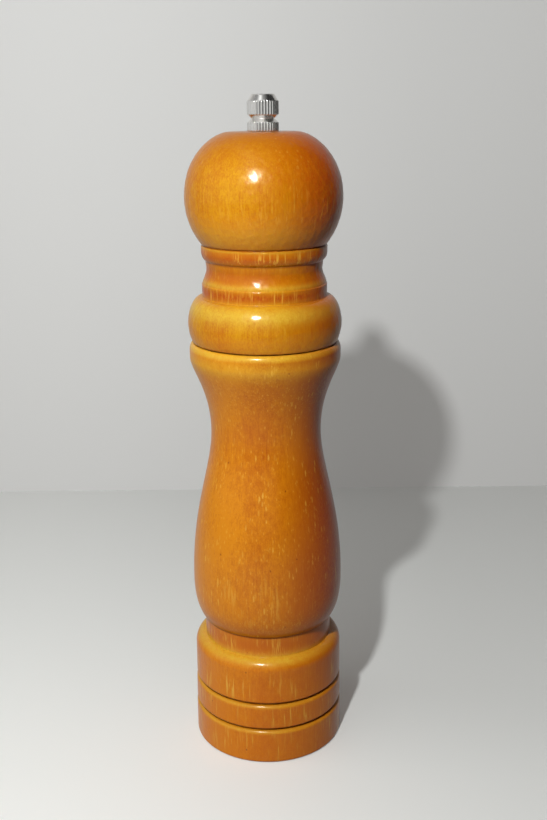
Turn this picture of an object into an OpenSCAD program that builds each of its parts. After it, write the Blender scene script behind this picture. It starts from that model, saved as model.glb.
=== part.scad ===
// Turned wooden pepper mill with a ceramic burr set. Millimetres, +Z up.
// The origin is the centre of the base, on the surface that the mill stands on.
// The mill is one turned stack: base bands, collar, belly and waist belong to the body,
// and the bead, neck, cove and ball belong to the head, which turns on the body.

/* [Blank] */
// Radius of the blank that the mill is turned from, which its widest places come near to
blank_r = 25; // [24.5:0.1:27]

/* [Base] */
// How far the lowest band stays inside the blank
base_in = 0.1; // [0:0.05:0.4]
// Height of the lowest band, up to the first groove
lower_band_h = 11.6; // [9:0.1:15]
// Height of the middle band, between the two grooves
middle_band_h = 8; // [6:0.1:12]
// Height of the upper band, with its rounded shoulder
upper_band_h = 14.5; // [10:0.1:18]
// How much each band is smaller in radius than the one below it
band_step = 0.1; // [0:0.05:0.4]
// Height of each dark groove between two bands
groove_h = 1.15; // [0.8:0.05:1.8]
// Radius of the rounded lip under each groove, which is also its depth
lip_r = 1.35; // [0.8:0.05:2]
// Height of the rounded shoulder on top of the base
shoulder_h = 3.9; // [2:0.1:6]
// Chamfer around the foot
foot_chamfer = 0.5; // [0.2:0.1:1]

/* [Body] */
// Height of the body from the table to the seam, which sets how long its slim middle is
body_h = 137.8; // [120:0.1:190]
// Radius of the collar between base and belly
collar_r = 21.25; // [20:0.05:23]
// Height of that collar
collar_h = 7.1; // [4:0.1:10]
// Radius of the belly's lower rim, which stands a little over the collar
rim_r = 21.8; // [21.3:0.05:23.5]
// How far the belly stays inside the blank at its largest radius
belly_in = 0.05; // [0:0.05:1]
// Height from the lower rim to the largest radius
belly_rise = 14.2; // [10:0.1:20]
// Radius of the waist, the slimmest place
waist_r = 18.05; // [17.5:0.05:20]
// Height from the waist to the shoulder
waist_to_shoulder = 25.2; // [18:0.1:32]
// How far the shoulder under the seam stays inside the blank
top_in = 0.55; // [0:0.05:1.5]
// Height of the shoulder, with its rounded edge
top_h = 4.7; // [3.5:0.1:7]
// Width of the rounded edge at the seam
top_round_w = 1.4; // [0.8:0.1:2]
// Height of the rounded edge at the seam
top_round_h = 2.4; // [1.5:0.1:3.2]

/* [Head] */
// Gap of the seam where the head turns on the body
seam_gap = 0.4; // [0.3:0.05:0.8]
// How far the bead above the seam stays inside the blank
bead_in = 0.3; // [0:0.05:1.5]
// Height of the bead
bead_h = 14.4; // [10:0.1:20]
// Radius of the neck, the plain step above the bead
neck_r = 19.95; // [18:0.05:22]
// Height of the neck, with its rounded edge
neck_h = 4.2; // [2.5:0.1:7]
// Radius at the bottom of the cove
cove_r = 18.5; // [16:0.05:19]
// Height of the cove
cove_h = 7.6; // [5:0.1:12]
// Radius of the collar under the ball
head_collar_r = 20.05; // [18:0.05:21]
// Height of the collar under the ball, with the fine line above it
head_collar_h = 5.05; // [3:0.05:8]
// How far the ball stays inside the blank
ball_in = 0; // [0:0.05:1.5]
// Upright radius of the ball's lower half, which is a little flatter than a ball
ball_under_h = 24.2; // [22:0.1:27]
// Height of the ball above its widest place, up to the flat top
crown_h = 19.9; // [17:0.05:24]
// Radius of the flat on top of the ball, where the nut sits
crown_flat_r = 10.5; // [7:0.1:13]
// How far outside the flat the crown is still nearly level, before it rounds down
crown_ease = 4.9; // [3:0.1:7]
// Length of the tenon that sits in the body
tenon_l = 18; // [10:0.5:26]

/* [Chamber] */
// How much the bore that holds the pepper is smaller in radius than the housing's barrel inside
chamber_step = 0.2; // [0:0.05:0.5]
// Depth of the open recess under the mechanism
recess_h = 4.5; // [4:0.1:7]

/* [Mechanism housing] */
// Width of the flange around the barrel, which is screwed into the base
flange_w = 4.9; // [4.7:0.1:5.6]
// Thickness of that flange
flange_t = 2.5; // [1.8:0.1:3.5]
// Outer radius of the housing's barrel
barrel_r = 15.3; // [15:0.1:15.8]
// Wall of the barrel
barrel_wall = 1.6; // [1.2:0.1:1.8]
// Height of the housing from the flange's lower face to its top
housing_h = 25.1; // [24:0.1:32]
// Width of the lip inside the barrel, which carries the outer burr
lip_w = 1.4; // [1.1:0.05:1.5]
// Thickness of that lip
lip_t = 1.5; // [1:0.1:2]
// Number of keys that stop the outer burr from turning
key_count = 3; // [2:1:4]
// Width of each key
key_w = 3; // [2:0.1:4]
// How far each key stands in from the barrel
key_depth = 1; // [0.6:0.1:1.2]

/* [Burrs] */
// Height of the outer burr
burr_h = 10; // [9:0.1:11]
// Wall of the outer burr at its lower edge
burr_low_wall = 1.6; // [1.5:0.05:1.8]
// Wall of the outer burr at the top of its toothed cone
burr_high_wall = 4.2; // [3.6:0.05:4.6]
// Radial gap between the two burrs at the finest setting
burr_gap = 0.35; // [0.3:0.05:0.6]
// Number of grooves in the outer burr
outer_groove_count = 18; // [12:1:24]
// Depth of the outer burr's grooves at the top
outer_groove_deep = 1.5; // [0.8:0.1:2]
// Depth of the outer burr's grooves at the bottom
outer_groove_shallow = 0.3; // [0.2:0.1:0.8]
// Width of the V of the outer burr's grooves
outer_groove_w = 2; // [1.4:0.1:2.4]
// Slant of the grooves from upright, in degrees
groove_slant = 24; // [5:1:35]
// Number of feed flutes on the inner burr
flute_count = 6; // [4:1:8]
// Radius of the round cutter that makes a flute
flute_cutter_r = 3; // [2:0.1:3.5]
// Depth of a flute at the top of the inner burr
flute_depth = 1.3; // [0.8:0.1:1.4]
// Slant of the flutes from upright, in degrees
flute_slant = 30; // [10:1:40]
// Lean of the flutes, so that they run out on the cone, in degrees
flute_lean = 28; // [22:1:34]
// Number of fine teeth around the foot of the inner burr
tooth_count = 30; // [18:1:36]
// Depth of the fine teeth
tooth_depth = 0.6; // [0.3:0.05:0.9]
// Width of the V between two fine teeth
tooth_w = 1.1; // [0.8:0.05:1.3]
// Height of the inner burr
rotor_h = 10.8; // [10:0.1:12]
// Radius of the inner burr at its top
rotor_top_r = 7.5; // [7.3:0.1:8]
// Height of the inner burr's grinding cone
grind_cone_h = 4.6; // [3.5:0.1:6]

/* [Spindle] */
// Side of the square spindle
spindle_side = 5; // [4.6:0.1:5.2]
// Radius to which the spindle's edges are broken
spindle_edge_r = 3.35; // [3.1:0.05:3.4]
// Radius of the turned and threaded top of the spindle
thread_r = 2.5; // [2:0.05:2.6]
// Length of the threaded top
thread_l = 14; // [8:0.5:20]
// Radius of the turned stub under the inner burr
stub_r = 2.3; // [2:0.05:2.5]
// Length of that stub
stub_l = 2.9; // [2.6:0.1:3.2]
// Outer radius of the retaining clip
clip_r = 4.4; // [3.8:0.1:5]
// Thickness of the retaining clip
clip_t = 0.6; // [0.4:0.1:0.8]
// Depth of the groove that the clip snaps into
clip_groove = 0.7; // [0.4:0.05:0.9]
// Outer radius of the washer between clip and driver
washer_r = 5; // [4.6:0.1:6]
// Thickness of that washer
washer_t = 0.8; // [0.5:0.1:1]
// Corner radius of the hexagonal core that turns the inner burr
driver_hex_r = 5.7; // [5.5:0.05:5.8]
// Radius of the driver's flange
driver_flange_r = 8.2; // [7:0.1:9]
// Thickness of the driver's flange
driver_flange_t = 1.2; // [1:0.1:1.6]

/* [Shaft guide] */
// Number of arms of the guide
arm_count = 3; // [3:1:4]
// Width of each arm
arm_w = 3; // [2:0.1:4]
// Depth of each arm
arm_h = 3; // [2:0.1:4]
// Wall of the guide's ring
guide_wall = 1.4; // [1:0.1:1.8]
// Radius of the guide's hub
hub_r = 6.2; // [5.8:0.1:6.6]
// Wall of the bush in the hub
bush_wall = 0.9; // [0.7:0.1:1.2]
// Radius of the bush's flange
bush_flange_r = 5.4; // [5.2:0.1:5.8]
// Thickness of the bush's flange
bush_flange_t = 0.8; // [0.6:0.1:1]
// How far the bush stands out of the hub at the top
bush_rise = 0.6; // [0.2:0.1:1]

/* [Spring] */
// Wire diameter of the spring
wire_d = 0.8; // [0.6:0.05:0.9]
// Inner radius of the coils
coil_inner_r = 3.95; // [3.9:0.05:4.05]
// Number of turns
coil_turns = 5; // [3:0.5:6]
// Thickness of the square-holed washer above the spring
spring_washer_t = 0.8; // [0.5:0.1:1]
// Radius of that washer
spring_washer_r = 5.4; // [5.1:0.1:5.8]

/* [Drive plate] */
// Radius of the plate that is screwed under the tenon
plate_r = 11.6; // [11.2:0.1:12.2]
// Thickness of that plate
plate_t = 1.5; // [1:0.1:2]
// Distance of the plate's screws from the axis
plate_screw_at = 8.2; // [7.6:0.1:8.4]
// Number of screws in the plate
plate_screw_count = 2; // [2:1:4]
// Radius of the head's through bore
head_bore_r = 4; // [3.8:0.1:4.4]

/* [Screws] */
// Radius of a wood screw's shank
screw_r = 1.25; // [1:0.05:1.5]
// Radius of a wood screw's head
screw_head_r = 2.2; // [1.9:0.05:2.3]
// Height of a wood screw's head
screw_head_h = 1.3; // [1:0.1:1.5]
// Length of a wood screw under its head
screw_l = 11; // [8:0.5:14]
// Number of screws in the flange
housing_screw_count = 3; // [3:1:4]
// Distance of the flange's screws from the barrel
screw_out = 2.5; // [2.4:0.05:2.6]

/* [Adjusting nut] */
// Radius of the knurled drum over its teeth
nut_r = 4.9; // [4.4:0.05:7]
// Radius of the knurled foot over its teeth
nut_foot_r = 4.9; // [4.4:0.05:7]
// Radius of the waist between foot and drum
nut_waist_r = 3.7; // [3.5:0.05:4.2]
// Height of the knurled foot
nut_foot_h = 2.5; // [1:0.1:3]
// Height of each polished cone beside the waist
nut_cone_h = 1.2; // [0.6:0.05:1.6]
// Height of the waist
nut_waist_h = 0.2; // [0.1:0.1:1.5]
// Height of the knurled drum
nut_drum_h = 3.9; // [3:0.1:8]
// Height of the polished cone at the top
nut_top_h = 2.1; // [1:0.1:3]
// Radius of the nut's flat top
nut_top_r = 3.6; // [3:0.05:4.2]
// Number of knurl teeth
knurl_count = 33; // [24:1:60]
// Depth of the knurl
knurl_depth = 0.34; // [0.1:0.02:0.4]

/* [Clearances] */
// Radial running clearance of the spindle in its bush and in the nut
run_clear = 0.06; // [0.04:0.01:0.1]
// Clearance between fitted pieces of one assembly
seat_clear = 0.1; // [0.05:0.01:0.15]
// Radial clearance of the wooden tenon and of the housing in the wood
wood_clear = 0.3; // [0.25:0.05:0.4]

/* [Hidden] */
$fn = 96;
over = 1; // how far a cutter reaches past the face that it opens
v_over = 4; // how far a V cutter reaches past both ends of its groove

// The widest radii, from the blank
base_r = blank_r - base_in;
belly_r = blank_r - belly_in;
top_r = blank_r - top_in;
bead_r = blank_r - bead_in;
ball_r = blank_r - ball_in;

// Heights along the body, from the base up
lower_top = lower_band_h;
middle_low = lower_top + groove_h;
middle_top = middle_low + middle_band_h;
upper_low = middle_top + groove_h;
base_top = upper_low + upper_band_h;
collar_top = base_top + collar_h;
belly_z = collar_top + belly_rise;
belly_to_waist = body_h - top_h - waist_to_shoulder - belly_z;
waist_z = belly_z + belly_to_waist;
top_z = waist_z + waist_to_shoulder;
body_top = top_z + top_h;
middle_r = base_r - band_step;
upper_r = middle_r - band_step;

// Heights along the head
head_low = body_top + seam_gap;
bead_top = head_low + bead_h;
neck_top = bead_top + neck_h;
cove_top = neck_top + cove_h;
ball_low = cove_top + head_collar_h;
ball_low_r = head_collar_r;
ball_low_turn = acos(ball_low_r / ball_r); // where the ball's lower arc starts, down from its widest place
ball_z = ball_low + ball_under_h * sin(ball_low_turn);
crown_z = ball_z + crown_h;
chamber_r = barrel_r - barrel_wall - chamber_step;
tenon_r = chamber_r - wood_clear;
tenon_low = head_low - tenon_l;

// Heights and radii inside the base
flange_r = barrel_r + flange_w;
housing_screw_at = barrel_r + screw_out;
flange_low = recess_h;
flange_top = flange_low + flange_t;
housing_top = flange_low + housing_h;
barrel_bore_r = barrel_r - barrel_wall;
lip_bore_r = barrel_bore_r - lip_w;
burr_low = flange_low + lip_t + seat_clear;
burr_top = burr_low + burr_h;
burr_r = barrel_bore_r - seat_clear;
burr_low_r = burr_r - burr_low_wall;
burr_high_r = burr_r - burr_high_wall;
key_low = burr_low + burr_h / 2;
screw_clear_r = screw_r + 0.15;
pilot_r = screw_r + 0.05;
pilot_over = 0.5; // how much deeper a pilot hole is than its screw
mouth_chamfer = 0.6; // chamfer of the body's bore at the seam
tenon_chamfer = 0.8;

// The inner burr and its driver, at the finest setting
driver_low = flange_low + 0.5;
rotor_low = driver_low + driver_flange_t + seat_clear;
rotor_top = rotor_low + rotor_h;
cone_slope = (burr_low_r - burr_high_r) / burr_h;
washer_low = driver_low - seat_clear - washer_t;
clip_low = washer_low - seat_clear - clip_t;
stub_low = driver_low - stub_l;

// The guide, the bush and the spring above the burrs
guide_low = burr_top + seat_clear;
guide_top = housing_top;
guide_r = barrel_bore_r - seat_clear;
guide_bore_r = guide_r - guide_wall;
hub_low = guide_top - arm_h;
bush_bore_r = spindle_edge_r + run_clear;
bush_r = bush_bore_r + bush_wall;
bush_low = hub_low - seat_clear - bush_flange_t;
spring_washer_low = bush_low - seat_clear - spring_washer_t;
spring_low = rotor_top + seat_clear;
spring_top = spring_washer_low - seat_clear;
coil_r = coil_inner_r + wire_d / 2;

// The drive plate and the nut
plate_low = tenon_low - seat_clear - plate_t;
nut_low = crown_z + seat_clear;
nut_waist_low = nut_low + nut_foot_h + nut_cone_h;
nut_drum_low = nut_waist_low + nut_waist_h + nut_cone_h;
nut_drum_top = nut_drum_low + nut_drum_h;
nut_top = nut_drum_top + nut_top_h;
spindle_top = nut_drum_top - 1.4;
thread_low = spindle_top - thread_l;
thread_chamfer = 0.6;
nut_bore_r = thread_r + run_clear;
nut_bore_top = nut_drum_top - 0.4;

wood = [0.76, 0.45, 0.1];
steel = [0.75, 0.76, 0.78];
ceramic = [0.93, 0.92, 0.88];
plastic = [0.16, 0.16, 0.17];
brass = [0.8, 0.65, 0.3];

// Points of a cubic curve from a to d, pulled towards b and c; a itself is left out
function curve(a, b, c, d, n = 12) = [
    for (i = [1:n]) let (t = i / n, s = 1 - t)
        s * s * s * a + 3 * s * s * t * b + 3 * s * t * t * c + t * t * t * d
];

// Points of an elliptical arc about [r, z]
function arc(r, z, a, b, from, to, n = 8) = [
    for (i = [0:n]) let (t = from + (to - from) * i / n) [r + a * cos(t), z + b * sin(t)]
];

// One band of the base: a straight side with a quarter-round lip at its top
function band(r, low, top) = concat([[r, low]], arc(r - lip_r, top - lip_r, lip_r, lip_r, 0, 90, 5));

function base_outline() = concat(
    [[base_r - foot_chamfer, 0]],
    band(base_r, foot_chamfer, lower_top),
    band(middle_r, middle_low, middle_top),
    [[upper_r, upper_low]],
    arc(collar_r, base_top - shoulder_h, upper_r - collar_r, shoulder_h, 0, 90, 10)
);

function belly_outline() = concat(
    [[collar_r, collar_top], [rim_r, collar_top]],
    curve([rim_r, collar_top], [belly_r - 0.2, collar_top + belly_rise * 0.29],
        [belly_r, belly_z - belly_rise * 0.3], [belly_r, belly_z], 12),
    curve([belly_r, belly_z], [belly_r, belly_z + belly_to_waist * 0.48],
        [waist_r, waist_z - belly_to_waist * 0.25], [waist_r, waist_z], 26),
    curve([waist_r, waist_z], [waist_r, waist_z + waist_to_shoulder * 0.56],
        [top_r, top_z - waist_to_shoulder * 0.16], [top_r, top_z], 18),
    arc(top_r - top_round_w, body_top - top_round_h, top_round_w, top_round_h, 0, 90, 8)
);

function head_outline() = concat(
    [[bead_r - 1.3, head_low]],
    curve([bead_r - 1.3, head_low], [bead_r - 0.8, head_low + 1.3],
        [bead_r, head_low + bead_h * 0.24], [bead_r, head_low + bead_h * 0.41], 10),
    curve([bead_r, head_low + bead_h * 0.41], [bead_r, head_low + bead_h * 0.54],
        [bead_r - 0.9, bead_top], [neck_r, bead_top], 16),
    arc(neck_r - 0.6, neck_top - 0.6, 0.6, 0.6, 0, 90, 4),
    curve([neck_r - 0.6, neck_top], [cove_r + 0.2, neck_top + 0.2],
        [cove_r, neck_top + cove_h * 0.35], [cove_r, neck_top + cove_h * 0.58], 10),
    curve([cove_r, neck_top + cove_h * 0.58], [cove_r, neck_top + cove_h * 0.8],
        [head_collar_r - 0.9, cove_top - 0.3], [head_collar_r - 0.5, cove_top], 8),
    [[head_collar_r, cove_top + 0.2], [head_collar_r, ball_low - 0.8], [head_collar_r - 0.5, ball_low - 0.4]],
    arc(0, ball_z, ball_r, ball_under_h, -ball_low_turn, 0, 20),
    curve([ball_r, ball_z], [ball_r, ball_z + crown_h * 0.66],
        [crown_flat_r + crown_ease, crown_z], [crown_flat_r, crown_z], 28)
);

// Copies of a child in a ring about the axis
module ring_of(count, start = 0) {
    for (i = [0:count - 1]) rotate(start + i * 360 / count) children();
}

// A long V cutter. Its edge runs from a to b, each [r, z], and it slants about its middle.
module v_cutter(a, b, w, slant, side) {
    mid = (a + b) / 2;
    len = norm(b - a) + 2 * v_over;
    half = w / sqrt(2);
    translate([mid[0] + side * half, 0, mid[1]])
        rotate([slant, 0, 0])
            rotate([0, atan2(b[0] - a[0], b[1] - a[1]), 0])
                rotate(45) cube([w, w, len], center = true);
}

// The turned body: base bands, collar, belly and waist, bored through for the pepper
module body() {
    color(wood) difference() {
        rotate_extrude() polygon(concat([[0, 0]], base_outline(), belly_outline(), [[0, body_top]]));
        translate([0, 0, -over]) cylinder(r = flange_r + seat_clear, h = flange_top + seat_clear + over);
        translate([0, 0, -over]) cylinder(r = barrel_r + seat_clear, h = housing_top + seat_clear + over);
        cylinder(r = chamber_r, h = body_top + over);
        translate([0, 0, body_top - mouth_chamfer])
            cylinder(r1 = chamber_r, r2 = chamber_r + mouth_chamfer + over, h = mouth_chamfer + over);
        ring_of(housing_screw_count, 90) translate([housing_screw_at, 0, 0])
            cylinder(r = pilot_r, h = flange_low + screw_l + pilot_over);
    }
}

// The flanged cup in the base that carries the whole burr set
module mechanism_housing() {
    color(plastic) {
        difference() {
            union() {
                translate([0, 0, flange_low]) cylinder(r = flange_r, h = flange_t);
                translate([0, 0, flange_low]) cylinder(r = barrel_r, h = housing_h);
            }
            translate([0, 0, flange_low + lip_t]) cylinder(r = barrel_bore_r, h = housing_h);
            translate([0, 0, flange_low - over]) cylinder(r = lip_bore_r, h = lip_t + 2 * over);
            ring_of(housing_screw_count, 90) translate([housing_screw_at, 0, flange_low - over])
                cylinder(r = screw_clear_r, h = flange_t + 2 * over);
        }
        // The keys stand in from the barrel, beside the upper half of the outer burr
        intersection() {
            translate([0, 0, key_low]) difference() {
                cylinder(r = barrel_bore_r + barrel_wall / 2, h = burr_top - key_low);
                translate([0, 0, -over])
                    cylinder(r = barrel_bore_r - key_depth, h = burr_top - key_low + 2 * over);
            }
            ring_of(key_count) translate([0, -key_w / 2, 0]) cube([barrel_r, key_w, burr_top + over]);
        }
    }
}

// A pan-head wood screw that points up, with its head's seat at height z
module wood_screw(z) {
    recess_l = screw_head_r * 1.2;
    recess_w = 0.6;
    recess_deep = 0.6;
    tip_l = 2 * screw_r;
    translate([0, 0, z - screw_head_h]) difference() {
        rotate_extrude() polygon(concat(
            [[0, 0]],
            [for (a = [-60:15:0]) [screw_head_r * (0.62 + 0.38 * cos(a)), screw_head_h * 0.75 * (1 + sin(a))]],
            [[screw_head_r, screw_head_h], [screw_r, screw_head_h],
             [screw_r, screw_head_h + screw_l - tip_l], [0, screw_head_h + screw_l]]
        ));
        // The cross recess
        for (turn = [0, 90]) rotate(turn) cube([recess_l, recess_w, 2 * recess_deep], center = true);
    }
}

module housing_screws() {
    color(steel) ring_of(housing_screw_count, 90)
        translate([housing_screw_at, 0, 0]) wood_screw(flange_low);
}

// The fixed ceramic ring, with slanted grooves down its conical bore
module outer_burr() {
    mouth = 1.5;
    function bore_at(z) = burr_low_r - cone_slope * (z - burr_low);
    color(ceramic) difference() {
        translate([0, 0, burr_low]) cylinder(r = burr_r, h = burr_h);
        rotate_extrude() polygon([
            [0, burr_low - over], [bore_at(burr_low - over), burr_low - over],
            [bore_at(burr_top - mouth), burr_top - mouth],
            [bore_at(burr_top - mouth) + mouth + over, burr_top + over], [0, burr_top + over]
        ]);
        ring_of(outer_groove_count) v_cutter(
            [bore_at(burr_low) + outer_groove_shallow, burr_low],
            [bore_at(burr_top) + outer_groove_deep, burr_top],
            outer_groove_w, groove_slant, -1);
        ring_of(key_count) translate([burr_r - key_depth, -key_w / 2 - seat_clear, key_low - seat_clear])
            cube([key_depth + over, key_w + 2 * seat_clear, burr_h]);
    }
}

// The ring with arms that holds the outer burr down and centres the spindle
module shaft_guide() {
    color(plastic) difference() {
        union() {
            difference() {
                translate([0, 0, guide_low]) cylinder(r = guide_r, h = guide_top - guide_low);
                translate([0, 0, guide_low - over])
                    cylinder(r = guide_bore_r, h = guide_top - guide_low + 2 * over);
            }
            translate([0, 0, hub_low]) cylinder(r = hub_r, h = arm_h);
            ring_of(arm_count, 90) translate([bush_r + 1, -arm_w / 2, hub_low])
                cube([guide_bore_r + guide_wall / 2 - bush_r - 1, arm_w, arm_h]);
        }
        translate([0, 0, hub_low - over]) cylinder(r = bush_r + seat_clear, h = arm_h + 2 * over);
        // The mouth is chamfered so that the peppercorns slide in
        translate([0, 0, guide_top - guide_wall + 0.4])
            cylinder(r1 = guide_bore_r, r2 = guide_bore_r + guide_wall, h = guide_wall);
    }
}

// The flanged bush in the hub, in which the spindle turns and slides
module guide_bush() {
    color(brass) difference() {
        union() {
            translate([0, 0, bush_low]) cylinder(r = bush_flange_r, h = bush_flange_t);
            translate([0, 0, bush_low]) cylinder(r = bush_r, h = guide_top - bush_low + bush_rise);
        }
        translate([0, 0, bush_low - over]) cylinder(r = bush_bore_r, h = guide_top - bush_low + 3 * over);
    }
}

// The outline of the spindle's bar: a square with its edges broken
module square_bar(side, edge_r, h) {
    intersection() {
        translate([-side / 2, -side / 2, 0]) cube([side, side, h]);
        cylinder(r = edge_r, h = h);
    }
}

// The cutter for a hole that fits over the bar
module square_hole(h) {
    square_bar(spindle_side + 2 * seat_clear, spindle_edge_r + seat_clear, h);
}

module spring_washer() {
    color(steel) translate([0, 0, spring_washer_low]) difference() {
        cylinder(r = spring_washer_r, h = spring_washer_t);
        translate([0, 0, -over])
            square_hole(spring_washer_t + 2 * over);
    }
}

// The coil between the inner burr and the square-holed washer, swept as rings of eight points.
// Its end turns are closed: the wire rises by its own thickness there, and by the open pitch between them.
module grinder_spring() {
    sides = 8;
    per_turn = 18;
    rings = coil_turns * per_turn;
    closed = 0.9;
    closed_pitch = wire_d * 1.02;
    rise = spring_top - spring_low - wire_d;
    open_pitch = (rise - 2 * closed * closed_pitch) / (coil_turns - 2 * closed);
    function height_at(t) =
        closed_pitch * (min(t, closed) + max(t - coil_turns + closed, 0))
        + open_pitch * max(min(t, coil_turns - closed) - closed, 0);
    points = [
        for (i = [0:rings], k = [0:sides - 1])
            let (a = i * 360 / per_turn, b = k * 360 / sides, r = coil_r + wire_d / 2 * cos(b))
                [r * cos(a), r * sin(a), spring_low + wire_d / 2 * (1 + sin(b)) + height_at(i / per_turn)]
    ];
    faces = concat(
        [[for (k = [0:sides - 1]) k]],
        [for (i = [0:rings - 1], k = [0:sides - 1])
            let (a = i * sides + k, b = i * sides + (k + 1) % sides) [a, a + sides, b + sides, b]],
        [[for (k = [sides - 1:-1:0]) rings * sides + k]]
    );
    color(steel) polyhedron(points, faces);
}

// The square bar from the clip under the burrs to the thread in the nut
module spindle() {
    color(steel) {
        translate([0, 0, driver_low]) square_bar(spindle_side, spindle_edge_r, thread_low - driver_low);
        translate([0, 0, thread_low - over])
            cylinder(r = thread_r, h = spindle_top - thread_chamfer - thread_low + over);
        translate([0, 0, spindle_top - thread_chamfer])
            cylinder(r1 = thread_r, r2 = thread_r - thread_chamfer, h = thread_chamfer);
        // The stub, with its groove for the clip
        difference() {
            translate([0, 0, stub_low]) cylinder(r = stub_r, h = stub_l + over);
            translate([0, 0, clip_low - 0.05]) difference() {
                cylinder(r = stub_r + over, h = clip_t + 0.1);
                translate([0, 0, -over]) cylinder(r = stub_r - clip_groove, h = clip_t + 0.1 + 2 * over);
            }
        }
    }
}

// The plastic core that the square bar turns, and that turns the inner burr
module burr_driver() {
    color(plastic) difference() {
        union() {
            translate([0, 0, driver_low]) cylinder(r = driver_flange_r, h = driver_flange_t);
            translate([0, 0, driver_low]) cylinder(r = driver_hex_r, h = rotor_top - driver_low, $fn = 6);
        }
        translate([0, 0, driver_low - over])
            square_hole(rotor_top - driver_low + 2 * over);
    }
}

// The turning ceramic cone: round feed flutes above, fine slanted teeth around its foot
module inner_burr() {
    function grind_at(z) = burr_low_r - cone_slope * (z - burr_low) - burr_gap;
    grind_top = rotor_low + grind_cone_h;
    flute_start = 30; // the flutes start over the flats of the hexagonal core
    color(ceramic) difference() {
        rotate_extrude() polygon([
            [0, rotor_low], [grind_at(rotor_low), rotor_low], [grind_at(grind_top), grind_top],
            [rotor_top_r, rotor_top], [0, rotor_top]
        ]);
        translate([0, 0, rotor_low - over])
            cylinder(r = driver_hex_r + seat_clear, h = rotor_h + 2 * over, $fn = 6);
        ring_of(flute_count, flute_start) translate([rotor_top_r + flute_cutter_r - flute_depth, 0, rotor_top])
            rotate([flute_slant, 0, 0]) rotate([0, -flute_lean, 0])
                translate([0, 0, -rotor_h * 0.8]) cylinder(r = flute_cutter_r, h = rotor_h * 1.6, $fn = 48);
        ring_of(tooth_count) v_cutter(
            [grind_at(rotor_low) - tooth_depth, rotor_low],
            [grind_at(grind_top) - tooth_depth / 2, grind_top],
            tooth_w, -groove_slant, 1);
    }
}

module burr_washer() {
    color(steel) translate([0, 0, washer_low]) difference() {
        cylinder(r = washer_r, h = washer_t);
        translate([0, 0, -over]) cylinder(r = stub_r + seat_clear, h = washer_t + 2 * over);
    }
}

// The open clip that snaps into the stub's groove: a ring with three inner lobes and a mouth
module retaining_clip() {
    grip_r = stub_r - clip_groove + 0.05;
    lobe_r = 1;
    mouth_w = grip_r * 1.84;
    color(steel) translate([0, 0, clip_low]) difference() {
        cylinder(r = clip_r, h = clip_t);
        translate([0, 0, -over]) cylinder(r = grip_r, h = clip_t + 2 * over);
        for (turn = [60, -60]) rotate(turn) translate([-grip_r - lobe_r / 3, 0, -over])
            cylinder(r = lobe_r, h = clip_t + 2 * over, $fn = 32);
        translate([0, -mouth_w / 2, -over]) cube([clip_r + over, mouth_w, clip_t + 2 * over]);
    }
}

// The turned head: bead, neck, cove and ball, with the tenon below the seam
module head() {
    color(wood) difference() {
        rotate_extrude() polygon(concat(
            [[0, tenon_low], [tenon_r - tenon_chamfer, tenon_low],
             [tenon_r, tenon_low + tenon_chamfer], [tenon_r, head_low]],
            head_outline(), [[0, crown_z]]
        ));
        translate([0, 0, tenon_low - over]) cylinder(r = head_bore_r, h = crown_z - tenon_low + 2 * over);
        ring_of(plate_screw_count) translate([plate_screw_at, 0, tenon_low - over])
            cylinder(r = pilot_r, h = screw_l - plate_t + over + pilot_over);
    }
}

// The steel disc under the tenon whose square hole turns the spindle
module drive_plate() {
    color(steel) difference() {
        translate([0, 0, plate_low]) cylinder(r = plate_r, h = plate_t);
        translate([0, 0, plate_low - over])
            square_hole(plate_t + 2 * over);
        ring_of(plate_screw_count) translate([plate_screw_at, 0, plate_low - over])
            cylinder(r = screw_clear_r, h = plate_t + 2 * over);
    }
}

module drive_plate_screws() {
    color(steel) ring_of(plate_screw_count)
        translate([plate_screw_at, 0, 0]) wood_screw(plate_low);
}

// A straight knurl: a ring of teeth with flanks that meet in a ridge
module knurl(r, low, high) {
    translate([0, 0, low]) linear_extrude(high - low) polygon([
        for (i = [0:2 * knurl_count - 1])
            let (a = i * 180 / knurl_count, d = i % 2 == 0 ? r : r - knurl_depth) [d * cos(a), d * sin(a)]
    ]);
}

// The nut on top: knurled foot, waist and knurled drum. The polished cones are turned after the knurl,
// so the teeth run out on them.
module adjusting_nut() {
    edge = 0.2;
    outside = 0.05; // how far the turned outline stands outside the ridges
    waist_mid = nut_waist_low + nut_waist_h / 2;
    foot_r = nut_foot_r + outside;
    drum_r = nut_r + outside;
    color(steel) difference() {
        intersection() {
            union() {
                knurl(nut_foot_r, nut_low, waist_mid);
                knurl(nut_r, waist_mid, nut_top);
            }
            rotate_extrude() polygon([
                [0, nut_low], [foot_r - edge, nut_low], [foot_r, nut_low + edge],
                [foot_r, nut_low + nut_foot_h],
                [nut_waist_r, nut_waist_low], [nut_waist_r, nut_waist_low + nut_waist_h],
                [drum_r, nut_drum_low], [drum_r, nut_drum_top],
                [nut_top_r, nut_top - edge], [nut_top_r - edge, nut_top], [0, nut_top]
            ]);
        }
        translate([0, 0, nut_low - over]) cylinder(r = nut_bore_r, h = nut_bore_top - nut_low + over);
    }
}

body();
mechanism_housing();
housing_screws();
outer_burr();
shaft_guide();
guide_bush();
spring_washer();
grinder_spring();
spindle();
burr_driver();
inner_burr();
burr_washer();
retaining_clip();
head();
drive_plate();
drive_plate_screws();
adjusting_nut();
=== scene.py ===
import math
import bpy
import numpy as np
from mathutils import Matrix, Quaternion, Vector


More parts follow.
